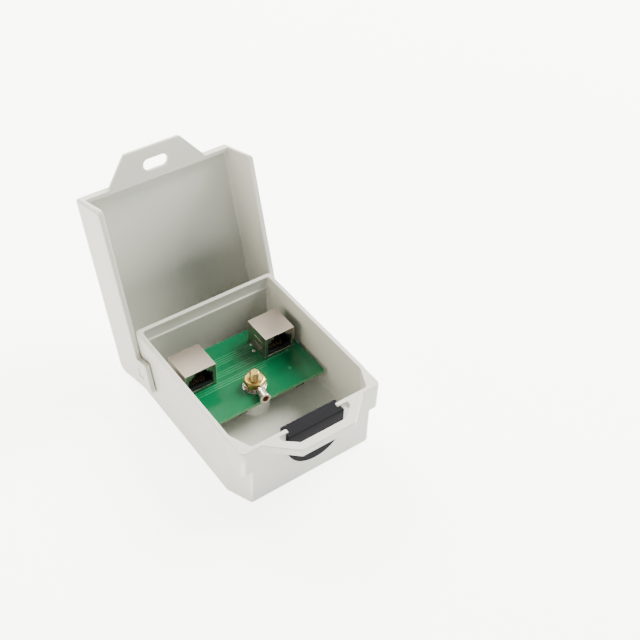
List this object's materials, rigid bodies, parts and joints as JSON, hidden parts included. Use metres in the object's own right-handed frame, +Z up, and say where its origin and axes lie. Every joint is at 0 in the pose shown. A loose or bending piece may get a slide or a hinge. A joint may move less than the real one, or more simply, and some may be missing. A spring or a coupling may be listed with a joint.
{
  "type": "ethernet surge protector",
  "caption": "Weatherproof grey plastic case with a hinged lockable lid, a board with two shielded network jacks, an earth stud and a rubber cable gland.",
  "frame": {"origin": "middle of the tray's flat underside, which goes against the wall", "axes": "+X to the right seen from the latch side, +Y from the latch to the hinge, +Z up out of the tray"},
  "size_m": [0.0788, 0.1414, 0.0996],
  "materials": {
    "case_plastic": "fine satin moulded plastic",
    "pin_plastic": "satin",
    "black_rubber": "matte",
    "board_green": "glossy solder mask",
    "shield_steel": "satin nickel plate",
    "black_plastic": "satin",
    "contact_gold": "polished",
    "stud_brass": "yellow passivate",
    "zinc_steel": "bright zinc",
    "tinned_copper": "tinned",
    "tube_ceramic": "satin",
    "chip_black": "moulded epoxy"
  },
  "bodies": {
    "base": {"tray": "case_plastic", "hinge_pin_left": "pin_plastic", "hinge_pin_right": "pin_plastic", "cable_gland": "black_rubber", "circuit_board": "board_green", "jack_shield_left": "shield_steel", "jack_shield_right": "shield_steel", "jack_housing_left": "black_plastic", "jack_housing_right": "black_plastic", "jack_contacts_left": "contact_gold", "jack_contacts_right": "contact_gold", "earth_stud": "stud_brass", "spacer_washer": "zinc_steel", "flat_washer": "zinc_steel", "ring_terminal": "tinned_copper", "spring_washer": "zinc_steel", "hex_nut": "stud_brass", "gas_tubes": "tube_ceramic", "suppressor_diodes": "chip_black", "chip_resistors": "chip_black"},
    "cover": {"lid": "case_plastic"}
  },
  "joints": [
    {"name": "lid_hinge", "type": "hinge", "parent": "base", "child": "cover", "pos_m": [0, 0.0365, 0.0154], "axis": [-1, 0, 0], "range_deg": [-107.3, 0]}
  ]
}
